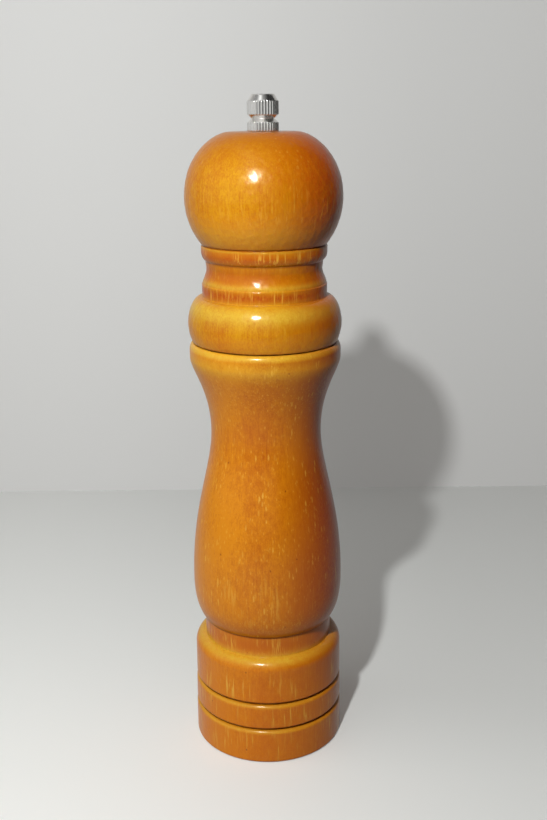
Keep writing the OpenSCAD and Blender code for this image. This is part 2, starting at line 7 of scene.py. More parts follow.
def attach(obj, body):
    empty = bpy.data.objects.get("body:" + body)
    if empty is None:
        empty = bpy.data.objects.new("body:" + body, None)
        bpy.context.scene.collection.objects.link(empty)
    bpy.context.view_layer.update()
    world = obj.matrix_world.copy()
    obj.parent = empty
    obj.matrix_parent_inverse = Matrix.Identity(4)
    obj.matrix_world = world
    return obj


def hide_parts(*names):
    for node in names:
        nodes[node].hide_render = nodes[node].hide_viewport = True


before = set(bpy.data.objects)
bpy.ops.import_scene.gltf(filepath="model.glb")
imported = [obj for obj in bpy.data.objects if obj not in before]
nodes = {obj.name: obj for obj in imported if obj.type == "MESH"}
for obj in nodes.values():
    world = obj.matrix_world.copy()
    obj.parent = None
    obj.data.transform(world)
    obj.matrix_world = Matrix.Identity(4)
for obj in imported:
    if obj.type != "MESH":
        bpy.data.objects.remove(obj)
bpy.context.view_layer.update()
mm = 0.001
turn = 2 * math.pi
print("frame loaded:", len(nodes), "nodes")


# Outlines: lists of (radius, height) in millimetres, and the closed skins that they make

def bezierRun(start, pullA, pullB, end, count):
    # cubic curve: s^3 a + 3 s^2 t b + 3 s t^2 c + t^3 d, the first point left out
    t = np.linspace(0, 1, count + 1)[1:, None]
    a, b, c, d = (np.array(p, float) for p in (start, pullA, pullB, end))
    s = 1 - t
    return s ** 3 * a + 3 * s ** 2 * t * b + 3 * s * t ** 2 * c + t ** 3 * d


def arcRun(centre, wide, high, fromDeg, toDeg, count):
    # ellipse: centre + (wide cos a, high sin a)
    a = np.radians(np.linspace(fromDeg, toDeg, count + 1))
    return np.stack([centre[0] + wide * np.cos(a), centre[1] + high * np.sin(a)], 1)


def joinRuns(*runs):
    # points and runs of points put end to end
    return np.concatenate([np.atleast_2d(np.array(run, float)) for run in runs])


def easeCorners(outline, radius, closed, sharpDeg=14, most=0.45, steps=4):
    # each sharp corner becomes a quadratic curve s^2 a + 2 s t b + t^2 c that starts and ends radius away
    # from it, or at the share called most of a shorter side
    count = len(outline)
    eased = []
    for i, here in enumerate(outline):
        if not closed and i in (0, count - 1):
            eased.append(here[None])
            continue
        back, ahead = outline[i - 1] - here, outline[(i + 1) % count] - here
        lenBack, lenAhead = np.hypot(*back), np.hypot(*ahead)
        cosTurn = -(back @ ahead) / max(lenBack * lenAhead, 1e-9)
        if cosTurn > math.cos(math.radians(sharpDeg)):
            eased.append(here[None])
            continue
        cut = min(radius, lenBack * most, lenAhead * most)
        t = np.linspace(0, 1, steps + 1)[:, None]
        a, c = here + back / lenBack * cut, here + ahead / lenAhead * cut
        eased.append((1 - t) ** 2 * a + 2 * (1 - t) * t * here + t ** 2 * c)
    return np.concatenate(eased)


def splitLong(outline, longest, closed, guard=0.0):
    # adds evenly spaced points wherever two neighbours stand further apart than longest, and one at guard
    # from each end of a long straight, so that the shading of its corners doesn't spread along it
    ends = np.roll(outline, -1, axis=0) if closed else outline[1:]
    starts = outline if closed else outline[:-1]
    runs = []
    for a, b in zip(starts, ends):
        length = np.hypot(*(b - a))
        near = guard / length if length > 3 * guard else 0.0
        parts = max(1, int(math.ceil(length * (1 - 2 * near) / longest)))
        t = near + (1 - 2 * near) * np.arange(parts + 1) / parts
        t = np.concatenate([[0.0], t]) if near else t[:-1]
        runs.append(a + (b - a) * t[:, None])
    if not closed:
        runs.append(outline[-1:])
    return np.concatenate(runs)


def skinOf(name, grid, sharpDeg, closedRows=False):
    # grid[row, column] holds points in millimetres; columns go round, rows go along, and open ends close
    # on a pole; edges that turn by more than sharpDeg stay sharp
    rows, columns = grid.shape[:2]
    points = grid.reshape(-1, 3)
    r = np.arange(rows if closedRows else rows - 1)[:, None] * columns
    c = np.arange(columns)[None, :]
    rNext, cNext = (r + columns) % (rows * columns), (c + 1) % columns
    quads = np.stack([r + c, r + cNext, rNext + cNext, rNext + c], -1)
    corners = quads.reshape(-1)
    sizes = np.full(quads.shape[0] * quads.shape[1], 4)
    if not closedRows:
        points = np.concatenate([points, grid[0].mean(0)[None], grid[-1].mean(0)[None]])
        k = np.arange(columns)
        kNext = (k + 1) % columns
        low = np.stack([np.full(columns, rows * columns), kNext, k], -1)
        top = np.stack([np.full(columns, rows * columns + 1), (rows - 1) * columns + k,
                        (rows - 1) * columns + kNext], -1)
        corners = np.concatenate([corners, low.reshape(-1), top.reshape(-1)])
        sizes = np.concatenate([sizes, np.full(2 * columns, 3)])
    mesh = bpy.data.meshes.new(name)
    mesh.vertices.add(len(points))
    mesh.vertices.foreach_set("co", (points * mm).astype(np.float32).reshape(-1))
    mesh.loops.add(len(corners))
    mesh.loops.foreach_set("vertex_index", corners.astype(np.int32))
    mesh.polygons.add(len(sizes))
    firstLoops = np.concatenate([[0], np.cumsum(sizes)[:-1]])
    mesh.polygons.foreach_set("loop_start", firstLoops.astype(np.int32))
    mesh.update(calc_edges=True)
    mesh.validate()
    mesh.shade_smooth()
    mesh.set_sharp_from_angle(angle=math.radians(sharpDeg))
    piece = bpy.data.objects.new(name, mesh)
    bpy.context.collection.objects.link(piece)
    return piece


def closedOutline(outside, inside, size):
    # fine steps on the outside, coarse ones in the bores
    outside = splitLong(outside, size["step"], False)
    eased = easeCorners(joinRuns(outside, inside), size["ease"], True)
    return splitLong(eased, size["stepIn"], True, size["step"])


def spun(r, a, z):
    # (r cos a, r sin a, z) for every height and angle
    return np.stack([r * np.cos(a), r * np.sin(a), z + 0 * a], -1)


def lathed(outline, columns):
    # the outline turned about the axis, going up on the outside so that normals face out
    return spun(outline[:, 0, None], np.arange(columns) * turn / columns, outline[:, 1, None])


def rippled(grid, size):
    # lacquer ripple: points outside a radius move out by the sum of sine waves that run in scattered
    # directions, sin(2 pi point . direction / length + phase), over the square root of their number
    scatter = np.random.default_rng(size["seed"])
    waves = size["waves"]
    ways = scatter.normal(size=(waves, 3))
    lengths = scatter.uniform(*size["lengths"], waves)
    ways /= np.linalg.norm(ways, axis=1)[:, None] * lengths[:, None]
    starts = scatter.uniform(0, turn, waves)
    total = sum(np.sin(grid @ way * turn + start) for way, start in zip(ways, starts)) / math.sqrt(waves)
    radius = np.hypot(grid[..., 0], grid[..., 1])
    share = 1 + total * size["height"] / radius * (radius > size["outside"])
    return grid * np.stack([share, share, np.ones_like(share)], -1)


# Turned body: three base bands, collar, belly, waist and shoulder, bored for the pepper and the burr set

bodySize = {
    "footR": 24.4, "bandR": [24.9, 24.8, 24.7], "bandLow": [0.5, 12.75, 21.9],
    "bandTop": [11.6, 20.75, 36.4], "lip": 1.35, "shoulderZ": 32.5,
    "collarR": 21.25, "collarTop": 43.5, "rimR": 21.8,
    "bellyR": 24.94, "bellyZ": 57.7, "waistR": 18.05, "waistZ": 107.9,
    "topR": 24.45, "topZ": 133.1, "bodyTop": 137.8, "topRoundW": 1.4, "topRoundH": 2.4,
    # how far each curve's two ends pull along it, as shares of its height
    "rise": (0.29, 0.3), "riseIn": 0.2, "fall": (0.48, 0.25), "flare": (0.56, 0.16),
    "chamberR": 13.5, "chamfer": 0.6, "barrelR": 15.4, "barrelTop": 29.7, "recessR": 20.3, "recessTop": 7.1,
    "points": {"lip": 12, "shoulder": 24, "rise": 24, "fall": 72, "flare": 44, "rim": 16},
    "columns": 240, "step": 0.8, "stepIn": 6.0, "ease": 0.22, "sharpDeg": 50,
}


def bandRun(size, i):
    # a straight side, then a quarter-round lip
    r, lip, top = size["bandR"][i], size["lip"], size["bandTop"][i]
    lipRun = arcRun((r - lip, top - lip), lip, lip, 0, 90, size["points"]["lip"])
    return joinRuns([[r, size["bandLow"][i]]], lipRun)


def bodyOutside(size):
    # three bands, a quarter ellipse to the collar, cubic curves over belly and waist, and a quarter ellipse
    # at the rim
    s, points = size, size["points"]
    rim, belly = (s["rimR"], s["collarTop"]), (s["bellyR"], s["bellyZ"])
    waist, top = (s["waistR"], s["waistZ"]), (s["topR"], s["topZ"])
    rise, fall, flare = belly[1] - rim[1], waist[1] - belly[1], top[1] - waist[1]
    roundW, roundH = s["topRoundW"], s["topRoundH"]
    return joinRuns(
        [[s["footR"], 0]], bandRun(s, 0), bandRun(s, 1), [[s["bandR"][2], s["bandLow"][2]]],
        arcRun((s["collarR"], s["shoulderZ"]), s["bandR"][2] - s["collarR"], s["bandTop"][2] - s["shoulderZ"],
               0, 90, points["shoulder"]),
        [[s["collarR"], s["collarTop"]], rim],
        bezierRun(rim, (belly[0] - s["riseIn"], rim[1] + rise * s["rise"][0]),
                  (belly[0], belly[1] - rise * s["rise"][1]), belly, points["rise"]),
        bezierRun(belly, (belly[0], belly[1] + fall * s["fall"][0]),
                  (waist[0], waist[1] - fall * s["fall"][1]), waist, points["fall"]),
        bezierRun(waist, (waist[0], waist[1] + flare * s["flare"][0]),
                  (top[0], top[1] - flare * s["flare"][1]), top, points["flare"]),
        arcRun((top[0] - roundW, s["bodyTop"] - roundH), roundW, roundH, 0, 90, points["rim"]),
    )


def bodyInside(size):
    # straight lines from the top down: pepper chamber, burr barrel, recess
    s = size
    return [[s["chamberR"] + s["chamfer"], s["bodyTop"]], [s["chamberR"], s["bodyTop"] - s["chamfer"]],
            [s["chamberR"], s["barrelTop"]], [s["barrelR"], s["barrelTop"]],
            [s["barrelR"], s["recessTop"]], [s["recessR"], s["recessTop"]], [s["recessR"], 0]]


def buildBody(size):
    outline = closedOutline(bodyOutside(size), bodyInside(size), size)
    grid = lathed(outline, size["columns"])
    piece = skinOf("turned_body", grid, size["sharpDeg"], closedRows=True)
    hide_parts("body")
    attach(piece, "mill_body")
    return piece


# Turned head: bead, neck, cove, collar and ball, with the tenon that drops into the body

headSize = {
    "seamZ": 138.2, "beadR": 24.7, "beadTop": 152.6, "neckR": 19.95, "neckTop": 156.8, "neckEase": 0.3,
    "coveR": 18.45, "coveTop": 163.9, "collarR": 20.05, "collarTop": 169.45, "collarEase": 3.1,
    "ballR": 24.94, "ballUnder": 24.2, "crownHigh": 19.96, "crownR": 10.5, "crownEase": 4.9,
    "boreR": 4.0, "tenonR": 13.2, "tenonLow": 120.2,
    # bead: how far its foot stands in and rises, where it is widest, and the pulls as shares of its height
    "beadIn": 1.3, "beadFoot": (0.8, 1.3), "beadWide": 0.41, "beadPulls": (0.24, 0.54), "beadOver": 0.9,
    # cove and collar: steps from the neck's, cove's and collar's radius, and shares of their heights
    "coveSteps": (0.25, 0.2, 0.15), "coveShares": (0.2, 0.32, 0.68), "neckDeg": 70,
    "collarStep": 0.5, "collarShares": (0.2, 0.6), "collarEdge": (0.7, 0.4), "crownPull": 0.66,
    "points": {"foot": 16, "bead": 28, "neck": 6, "cove": 14, "collar": 10, "ball": 56, "crown": 64},
    "columns": 320, "step": 0.5, "stepIn": 6.0, "ease": 0.2, "sharpDeg": 50,
}
rippleSize = {"seed": 5, "waves": 16, "lengths": (1.6, 3.0), "height": 0.028, "outside": 16.0}


def ballMiddle(size):
    # the lower half is an ellipse that is as wide as the collar where the two meet
    return size["collarTop"] + size["ballUnder"] * math.sqrt(1 - (size["collarR"] / size["ballR"]) ** 2)


def crownLevel(size):
    # height of the flat that the nut stands on
    return ballMiddle(size) + size["crownHigh"]


def headOutside(size):
    # cubic curves for bead, cove and collar, an ellipse for the ball up to its widest, and a cubic curve over
    # its crown
    s, points = size, size["points"]
    seam, beadR, bead = s["seamZ"], s["beadR"], s["beadTop"] - s["seamZ"]
    neckR, neckZ, neckEase = s["neckR"], s["neckTop"], s["neckEase"]
    coveR, coveZ, cove = s["coveR"], s["coveTop"], s["coveTop"] - s["neckTop"]
    collarR, collarZ, ease = s["collarR"], s["collarTop"], s["collarEase"]
    ballZ, crownZ = ballMiddle(s), crownLevel(s)
    lowDeg = -math.degrees(math.acos(collarR / s["ballR"]))
    foot, wide = (beadR - s["beadIn"], seam), (beadR, seam + bead * s["beadWide"])
    pulls, steps, shares = s["beadPulls"], s["coveSteps"], s["coveShares"]
    return joinRuns(
        foot,
        bezierRun(foot, (beadR - s["beadFoot"][0], seam + s["beadFoot"][1]),
                  (beadR, seam + bead * pulls[0]), wide, points["foot"]),
        bezierRun(wide, (beadR, seam + bead * pulls[1]),
                  (beadR - s["beadOver"], s["beadTop"]), (neckR, s["beadTop"]), points["bead"]),
        arcRun((neckR - neckEase, neckZ - neckEase), neckEase, neckEase, 0, s["neckDeg"], points["neck"]),
        bezierRun((neckR - steps[0], neckZ), (neckR - steps[1], neckZ + cove * shares[0]),
                  (coveR + steps[2], neckZ + cove * shares[1]), (coveR, neckZ + cove * shares[2]),
                  points["cove"]),
        bezierRun((coveR, coveZ), (collarR - s["collarStep"], coveZ + ease * s["collarShares"][0]),
                  (collarR, coveZ + ease * s["collarShares"][1]), (collarR, coveZ + ease), points["collar"]),
        (collarR, collarZ - s["collarEdge"][0]), (collarR - s["collarStep"], collarZ - s["collarEdge"][1]),
        arcRun((0, ballZ), s["ballR"], s["ballUnder"], lowDeg, 0, points["ball"]),
        bezierRun((s["ballR"], ballZ), (s["ballR"], ballZ + s["crownHigh"] * s["crownPull"]),
                  (s["crownR"] + s["crownEase"], crownZ), (s["crownR"], crownZ), points["crown"]),
    )


def headInside(size):
    # straight lines: down the bore, out under the tenon, up to the seam
    s = size
    return [[s["boreR"], crownLevel(s)], [s["boreR"], s["tenonLow"]], [s["tenonR"], s["tenonLow"]],
            [s["tenonR"], s["seamZ"]]]


def buildHead(size):
    outline = closedOutline(headOutside(size), headInside(size), size)
    grid = rippled(lathed(outline, size["columns"]), rippleSize)
    piece = skinOf("turned_head", grid, size["sharpDeg"], closedRows=True)
    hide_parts("head")
    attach(piece, "head_set")
    return piece


# Finial nut: knurled foot and drum with polished cones, bored from below

nutSize = {
    "gap": 0.1, "footR": 4.9, "footH": 2.5, "coneH": 1.2, "waistR": 3.7, "waistH": 0.2,
    "drumR": 4.9, "drumH": 3.8, "topH": 2.2, "topR": 3.6, "topEdge": 0.12, "topStraight": 0.3,
    "boreR": 2.56, "boreDepth": 8.6, "boreEdge": 0.35, "capShares": (0.55, 0.1),
    "teeth": 33, "perTooth": 14, "knurlDepth": 0.24, "edge": 0.2,
    "ease": 0.07, "step": 0.11, "sharpDeg": 30,
}


def buildNut(size, low):
    s = size
    heights = np.cumsum([low, s["footH"], s["coneH"], s["waistH"], s["coneH"], s["drumH"], s["topH"]])
    z0, z1, z2, z3, z4, z5, z6 = heights
    footR, waistR, drumR, topR, boreR = (s[k] for k in ("footR", "waistR", "drumR", "topR", "boreR"))
    edge, topEdge, boreEdge = s["edge"], s["topEdge"], s["boreEdge"]
    turned = np.array([(footR - edge, z0), (footR, z0 + edge), (footR, z1), (waistR, z2), (waistR, z3),
                       (drumR, z4), (drumR, z5), (topR, z6 - topEdge), (topR - topEdge, z6)])
    turned = splitLong(easeCorners(turned, s["ease"], False), s["step"], False)
    r, z = turned[:, 0, None], turned[:, 1, None]
    count = s["teeth"] * s["perTooth"]
    a = np.arange(count)[None] * turn / count
    # knurl: between two ridges the cut goes down as the square of cos of half the tooth's phase, and the
    # cones cut it off; the last bit at the top is straight and plain
    cut = s["knurlDepth"] * np.cos(a * s["teeth"] / 2) ** 2
    ridge = np.where(z < (z2 + z3) / 2, footR, drumR) - cut
    r = np.where(z > z6 - s["topStraight"], np.minimum(r, topR), np.minimum(r, ridge))
    bore = np.array([(boreR, z0 + s["boreDepth"]), (boreR, z0 + boreEdge), (boreR + boreEdge, z0)])
    cap = np.array([(topR * share, z6) for share in s["capShares"]])
    grid = np.concatenate([lathed(bore, count), spun(r, a, z), lathed(cap, count)])
    piece = skinOf("finial_nut", grid, s["sharpDeg"])
    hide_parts("adjusting_nut")
    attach(piece, "nut")
    return piece


# Spindle: drawn square bar, turned stub with its clip groove, rolled thread at the top

spindleSize = {
    "stubLow": 2.1, "stubR": 2.3, "stubEdge": 0.3, "grooveLow": 3.45, "grooveTop": 4.15, "grooveR": 1.6,
    "barLow": 5.0, "half": 2.5, "edgeR": 3.35, "barRings": 60, "barShort": 0.5, "blend": 0.2,
    "threadLow": 197.505, "threadTop": 211.505, "threadR": 2.5, "pitch": 0.8, "threadDepth": 0.42,
    "threadGap": 0.05, "threadShort": 0.5, "perPitch": 10, "tip": ((0.42, 0.3), (0.75, 0)),
    "columns": 64, "sharpDeg": 35,
}


def buildSpindle(size):
    s = size
    low, top, pitch, threadR = s["threadLow"], s["threadTop"], s["pitch"], s["threadR"]
    a = (np.arange(s["columns"]) + 0.5) * turn / s["columns"]
    # square with broken edges: the nearer of the flat and the edge radius
    square = np.minimum(s["half"] / np.maximum(np.abs(np.cos(a)), np.abs(np.sin(a))), s["edgeR"])
    rings = [(s["stubR"] - s["stubEdge"], s["stubLow"]), (s["stubR"], s["stubLow"] + s["stubEdge"]),
             (s["stubR"], s["grooveLow"]), (s["grooveR"], s["grooveLow"]), (s["grooveR"], s["grooveTop"]),
             (s["stubR"], s["grooveTop"]), (s["stubR"], s["barLow"])]
    rings += [(square, z) for z in np.linspace(s["barLow"], low - s["barShort"], s["barRings"])]
    rings += [(square * (1 - s["blend"]) + s["blend"] * threadR, low)]
    for z in np.arange(low + s["threadGap"], top - s["threadShort"], pitch / s["perPitch"]):
        # thread: radius less depth times the triangle wave of height over pitch less the angle in turns; its
        # depth grows over the first turn
        wave = np.abs(((z / pitch - a / turn) % 1) * 2 - 1)
        rings.append((threadR - s["threadDepth"] * min((z - low) / pitch, 1) * wave, z))
    rings += [(threadR - inward, top - down) for inward, down in s["tip"]]
    grid = np.stack([spun(r, a, z) for r, z in rings])
    piece = skinOf("spindle_bar", grid, s["sharpDeg"])
    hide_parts("spindle")
    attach(piece, "spindle_set")
    return piece


body = buildBody(bodySize)
head = buildHead(headSize)
nut = buildNut(nutSize, crownLevel(headSize) + nutSize["gap"])
spindle = buildSpindle(spindleSize)
print("turned pieces built")


# Shader maths: a socket that adds, subtracts, multiplies, divides and takes powers like a number

class millSocket:
    def __init__(self, paint, socket):
        self.paint, self.socket = paint, socket

    def math(self, operation, other=None, clamp=False):
        values = (self,) if other is None else (self, other)
        return self.paint.add("ShaderNodeMath", {"operation": operation, "use_clamp": clamp},
                              dict(enumerate(values)))

    def __add__(self, other):
        return self.math("ADD", other)

    __radd__ = __add__

    def __sub__(self, other):
        return self.math("SUBTRACT", other)

    def __rsub__(self, other):
        return self.paint.add("ShaderNodeMath", {"operation": "SUBTRACT"}, {0: other, 1: self})

    def __mul__(self, other):
        return self.math("MULTIPLY", other)

    __rmul__ = __mul__

    def __truediv__(self, other):
        return self.math("DIVIDE", other)

    def __pow__(self, other):
        return self.math("POWER", other)

    def swing(self, share):
        # how far the value stands from a half, times a share
        return (self - 0.5) * share

    def bell(self, middle, width):
        # exp(-((value - middle) / width)^2)
        return (((self - middle) / width) ** 2 * -1).math("EXPONENT")

    def also(self, output):
        # another output of the same node
        return millSocket(self.paint, self.socket.node.outputs[output])

    def clamped(self):
        return self.math("ADD", 0.0, clamp=True)

    def ramp(self, low, high, outLow=0.0, outHigh=1.0):
        # smooth step from outLow to outHigh as the value goes from low to high
        return self.paint.add("ShaderNodeMapRange", {"interpolation_type": "SMOOTHSTEP"},
                              {0: self, 1: low, 2: high, 3: outLow, 4: outHigh})


class millPaint:
    # paints the nodes of one owner, which is a material or the world
    def __init__(self, owner):
        owner.use_nodes = True
        self.owner, self.tree = owner, owner.node_tree
        self.shader = self.tree.nodes.get("Principled BSDF")

    def feed(self, target, value):
        if isinstance(value, millSocket):
            self.tree.links.new(value.socket, target)
        else:
            target.default_value = value

    def add(self, kind, settings=None, inputs=None, output=0):
        node = self.tree.nodes.new(kind)
        for key, value in (settings or {}).items():
            setattr(node, key, value)
        for key, value in (inputs or {}).items():
            self.feed(node.inputs[key], value)
        return millSocket(self, node.outputs[output])

    def place(self, scale=(1, 1, 1), shift=(0, 0, 0)):
        # Object coordinates in millimetres, scaled by axis
        where = self.add("ShaderNodeTexCoord", output="Object")
        scaled = tuple(v / mm for v in scale)
        return self.add("ShaderNodeMapping", {}, {"Vector": where, "Location": shift, "Scale": scaled})

    def noise(self, scale, shift=(0, 0, 0), detail=2.0, roughness=0.5, distortion=0.0):
        return self.add("ShaderNodeTexNoise", {}, {"Vector": self.place(scale, shift), "Scale": 1.0,
                        "Detail": detail, "Roughness": roughness, "Distortion": distortion})

    def cells(self, scale, shift):
        # distance from the middle of the nearest random cell; the Color output differs from cell to cell
        return self.add("ShaderNodeTexVoronoi", {"feature": "F1"},
                        {"Vector": self.place(scale, shift), "Scale": 1.0})

    def mix(self, share, first, second):
        return self.add("ShaderNodeMix", {"data_type": "RGBA"}, {0: share, 6: first, 7: second}, output=2)

    def scaled(self, colour, level):
        return self.add("ShaderNodeVectorMath", {"operation": "SCALE"}, {0: colour, "Scale": level})

    def axis(self, index):
        return self.add("ShaderNodeSeparateXYZ", {}, {0: self.place()}, output=index)

    def ray(self, kind):
        # 1 for light paths of this kind
        return self.add("ShaderNodeLightPath", output=f"Is {kind} Ray")

    def bump(self, height, depth, strength):
        return self.add("ShaderNodeBump", {}, {"Height": height, "Distance": depth, "Strength": strength})

    def finish(self, sockets):
        for name, value in sockets.items():
            self.feed(self.shader.inputs[name], value)
        return self.owner


# Stained wood: amber stain under gloss lacquer, with beech rays as light streaks and dashes. The lists hold
# (height, width, share): of dark seams, which are pooled stain and painted shade; of painted shade in
# recesses; of a warmer tone, which is painted light on the body's bands and a darker crown on the head; of
# painted bounce light on undersides; of rubbed edges, which are thinner stain and painted light; of long
# rays, of specks

bodyStain = {
    "deep": (0.42, 0.094, 0.0010, 1), "light": (0.61, 0.208, 0.0030, 1), "ray": (0.74, 0.42, 0.050, 1),
    "thinAndLit": (0.60, 0.335, 0.024, 1), "rich": (0.35, 0.043, 0.001, 1), "dark": (0.20, 0.028, 0.001, 1),
    "warm": (0.64, 0.150, 0.002, 1), "underLight": (0.74, 0.200, 0.002, 1),
    "spread": 1.0, "rays": 0.95, "dashes": 0.9, "pores": 0.75, "leftLight": 0.034,
    "side": 0.95, "sideFrom": -2.0, "sideLow": (15.0, 60.0), "dashLow": (34.0, 50.0),
    "seams": [(12.1, 0.55, 0.95), (21.25, 0.55, 0.95), (43.45, 0.4, 0.7)],
    "recessShade": [(112.0, 14.0, 0.1), (46.0, 2.5, 0.2), (40.5, 3.5, 0.4)],
    "warmer": [(12.0, 34.0, 0.5)],
    "litUndersides": [(126.0, 7.0, 0.1), (50.0, 8.0, 0.1), (5.0, 5.0, 0.1)],
    "rubbedAndLit": [(11.2, 0.7, 0.6), (20.4, 0.7, 0.6), (36.1, 1.5, 0.86), (137.0, 1.2, 0.95), (132.8, 2.9, 0.5)],
    "streaked": [(6.0, 5.0, 1.0), (17.0, 3.5, 1.0), (26.0, 4.5, 1.0), (40.0, 3.0, 1.0), (57.0, 9.0, 0.5)],
    "speckled": [(124.0, 5.0, 1.0), (48.0, 3.5, 0.8)],
}
headStain = {
    "deep": (0.43, 0.122, 0.0010, 1), "light": (0.565, 0.268, 0.0030, 1), "ray": (0.74, 0.42, 0.050, 1),
    "thinAndLit": (0.58, 0.365, 0.030, 1), "rich": (0.37, 0.051, 0.001, 1), "dark": (0.20, 0.028, 0.001, 1),
    "warm": (0.335, 0.098, 0.001, 1), "underLight": (0.74, 0.235, 0.002, 1),
    "spread": 1.05, "rays": 0.8, "dashes": 0.30, "pores": 0.25, "leftLight": 0.0,
    "side": 0.95, "sideFrom": -8.0, "sideLow": (138.0, 150.0), "dashLow": (100.0, 110.0),
    "seams": [(137.98, 0.5, 0.8), (163.95, 0.35, 0.45), (169.2, 0.4, 0.8)],
    "recessShade": [(160.8, 3.5, 0.6), (154.7, 1.8, 0.85), (166.3, 2.4, 0.7)],
    "warmer": [(207.0, 11.0, 0.9)],
    "litUndersides": [(174.0, 7.0, 0.45), (141.0, 3.0, 0.3), (156.5, 4.0, 0.15)],
    "rubbedAndLit": [(149.8, 2.6, 0.75), (157.6, 0.9, 0.5), (168.7, 0.5, 0.4), (173.5, 3.5, 0.2)],
    "streaked": [(154.7, 2.0, 1.0), (166.5, 2.6, 1.0), (182.0, 8.0, 0.4)],
    "speckled": [(194.0, 4.0, 0.3)],
}

# What both stains share. Noises and cells: how many to a millimetre along x, y and z. Ramps: from and to, and
# the value at each end where it isn't 0 and 1; those across and up are in millimetres
woodMake = {
    "tone": {"scale": (0.06, 0.06, 0.03), "detail": 3},
    "streak": {"scale": (0.85, 0.85, 0.045), "detail": 4, "roughness": 0.62},
    "fine": {"scale": (2.4, 2.4, 0.10), "detail": 3, "roughness": 0.6, "distortion": 0.3},
    "mottle": {"scale": (0.7, 0.7, 0.45), "detail": 4, "roughness": 0.65},
    "grit": {"scale": (2.2, 2.2, 1.5), "detail": 2, "roughness": 0.6},
    "patch": {"scale": (0.10, 0.10, 0.06), "detail": 2},
    "long": {"scale": (1.15, 1.15, 0.085), "detail": 3, "roughness": 0.55, "distortion": 0.2},
    "cluster": {"scale": (0.13, 0.13, 0.05), "detail": 2},
    "peelBroad": {"scale": (0.35, 0.35, 0.25), "detail": 2},
    "peelFine": {"scale": (1.1, 1.1, 0.9), "detail": 2},
    "apart": 7, "shades": (1.5, 0.6, 1.1, 1.2, 1.2), "blotch": 1.2, "leftLightRamp": (-14, 0, -14, 0),
    "sideTo": 25, "sideUp": (0.2, 1.0), "rubbedAndLitRamp": (2, 23, 1.0, 0.4),
    "dashCells": (0.95, 0.95, 0.22), "dashRough": 0.5, "dashRamp": (0.16, 0.38, 1.0, 0.0),
    "dashChance": (0.35, 1.0), "dashPatch": (0.46, 0.56),
    "dashAcross": (4, 20, 1.0, 0.45), "dashUp": (0.3, 1.0),
    "bitCells": (1.5, 1.5, 0.45), "bitRough": 0.4, "bitRamp": (0.14, 0.40, 0.6, 0.0),
    "bitPatch": (0.48, 0.62),
    "longRamp": (0.55, 0.66), "clusterRamp": (0.40, 0.56),
    "speckCells": (1.5, 1.5, 1.1), "speckRamp": (0.14, 0.26, 1.0, 0.0), "speckShare": 0.6, "lightShare": 0.7,
    "poreCells": (0.2, 0.2, 0.13), "poreRamp": (0.028, 0.06),
    # the bump's shares of fine grain, light wood, broad and fine peel, its depth in metres and its strength
    "relief": (0.3, 0.3, 2.5, 3.5), "reliefDepth": 0.00004, "reliefStrength": 0.5,
    # the coat has a high index and little weight, so it shines as much from the front as at its edges
    "lacquer": {"Roughness": 0.30, "Specular IOR Level": 0.15, "Specular Tint": (1.0, 0.85, 0.4, 1),
                "Coat Weight": 0.09, "Coat Roughness": 0.18, "Coat IOR": 2.4},
}


def bellSum(height, bells):
    # the greatest of share * exp(-((height - z) / width)^2)
    total = None
    for z, width, share in bells:
        bell = height.bell(z, width) * share
        total = bell if total is None else total.math("MAXIMUM", bell)
    return total


def weighted(values, shares):
    # the sum of value * share
    return sum(value * share for value, share in zip(values, shares))


